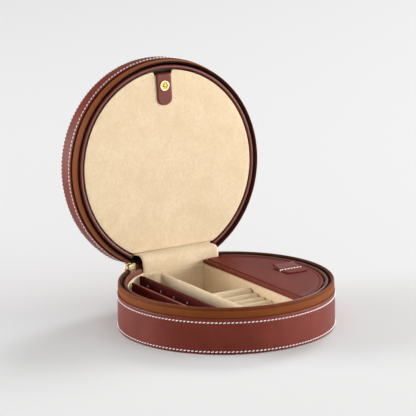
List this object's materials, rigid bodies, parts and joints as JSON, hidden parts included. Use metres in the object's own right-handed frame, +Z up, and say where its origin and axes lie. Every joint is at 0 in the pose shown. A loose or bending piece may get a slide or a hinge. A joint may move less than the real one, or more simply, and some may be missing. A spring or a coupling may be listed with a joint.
{
  "type": "zipped jewellery case",
  "caption": "Round leather jewellery case with a zip, a hinged deep lid and a suede tray with ring rolls, earring panels and a tray lid.",
  "frame": {"origin": "centre of the round underside, on the surface the case stands on", "axes": "+Z up, +Y towards the hinge at the back, -Y the front, +X the side with the tray lid"},
  "size_m": [0.18, 0.2126, 0.2068],
  "materials": {
    "outer_leather": "fine-grained reddish-brown leather, semi-gloss",
    "inner_leather": "fine-grained reddish-brown leather, satin",
    "panel_leather": "dark red-brown leather over board, satin",
    "suede": "cream microsuede with a short nap",
    "zip_tape": "tan-brown woven zip tape",
    "zip_coil": "brown nylon coil",
    "board": "greyboard faced with dark brown paper",
    "brass": "polished pale gold plating"
  },
  "bodies": {
    "base": {"base_bottom_leather": "outer_leather", "base_floor_board": "board", "base_wall_board": "board", "base_wall_leather": "outer_leather", "base_zip_tape": "zip_tape", "base_zip_coil": "zip_coil", "zip_end_tabs": "outer_leather", "spine_leather": "outer_leather", "base_collar_board": "board", "base_collar_leather": "inner_leather", "tray_floor_suede": "suede", "tray_wall_suede": "suede", "tray_back_wall": "suede", "centre_wall": "suede", "divider": "suede", "earring_panel_inner": "panel_leather", "earring_panel_outer": "panel_leather", "ring_roll_bed": "suede", "ring_roll_1": "suede", "ring_roll_2": "suede", "ring_roll_3": "suede", "ring_roll_4": "suede", "ring_roll_5": "suede", "ring_roll_6": "suede", "ring_roll_7": "suede", "hinge_strip_suede": "suede", "tray_lid_hinge_leather": "inner_leather"},
    "tray_lid": {"tray_lid_board": "board", "tray_lid_leather": "inner_leather", "tray_lid_lining": "suede", "tray_lid_pull_tab": "inner_leather"},
    "lid": {"lid_top_leather": "outer_leather", "lid_top_board": "board", "lid_wall_board": "board", "lid_wall_leather": "outer_leather", "lid_zip_tape": "zip_tape", "lid_zip_coil": "zip_coil", "lid_collar_board": "board", "lid_collar_leather": "inner_leather", "lid_floor_suede": "suede", "lid_back_wall": "suede", "necklace_hook_rail": "inner_leather", "necklace_hooks": "brass", "lid_pocket": "suede"},
    "lid_panel": {"panel_board": "board", "panel_suede": "suede", "panel_back_suede": "suede", "snap_stud": "brass", "strap_anchor": "inner_leather"},
    "snap_strap": {"snap_strap": "inner_leather", "snap_socket": "brass", "snap_cap": "brass"},
    "zip_slider": {"zip_slider": "brass"},
    "zip_pull": {"zip_pull": "brass"}
  },
  "joints": [
    {"name": "lid_hinge", "type": "hinge", "parent": "base", "child": "lid", "pos_m": [0, 0.08106, 0.03725], "axis": [-1, 0, 0], "range_deg": [-94.9, 0], "deforming": ["hinge_strip_suede", "spine_leather", "tray_lid_pull_tab"]},
    {"name": "tray_lid_hinge", "type": "hinge", "parent": "base", "child": "tray_lid", "pos_m": [0.0251, 0, 0.0369], "axis": [0, -1, 0], "range_deg": [0, 75]},
    {"name": "lid_panel_hinge", "type": "hinge", "parent": "lid", "child": "lid_panel", "pos_m": [0, 0.08472, 0.04774], "axis": [1, 0, 0], "range_deg": [0, 45]},
    {"name": "snap_strap_hinge", "type": "hinge", "parent": "lid_panel", "child": "snap_strap", "pos_m": [0, 0.09617, 0.19419], "axis": [-1, 0, 0], "range_deg": [0, 100]},
    {"name": "zip_travel", "type": "hinge", "parent": "base", "child": "zip_slider", "pos_m": [0, 0, 0.039], "axis": [0, 0, 1], "range_deg": [0, 294]},
    {"name": "zip_pull_swing", "type": "hinge", "parent": "zip_slider", "child": "zip_pull", "pos_m": [-0.05145, 0.07627, 0.0392], "axis": [0.829, 0.5592, 0], "range_deg": [0, 100]}
  ]
}
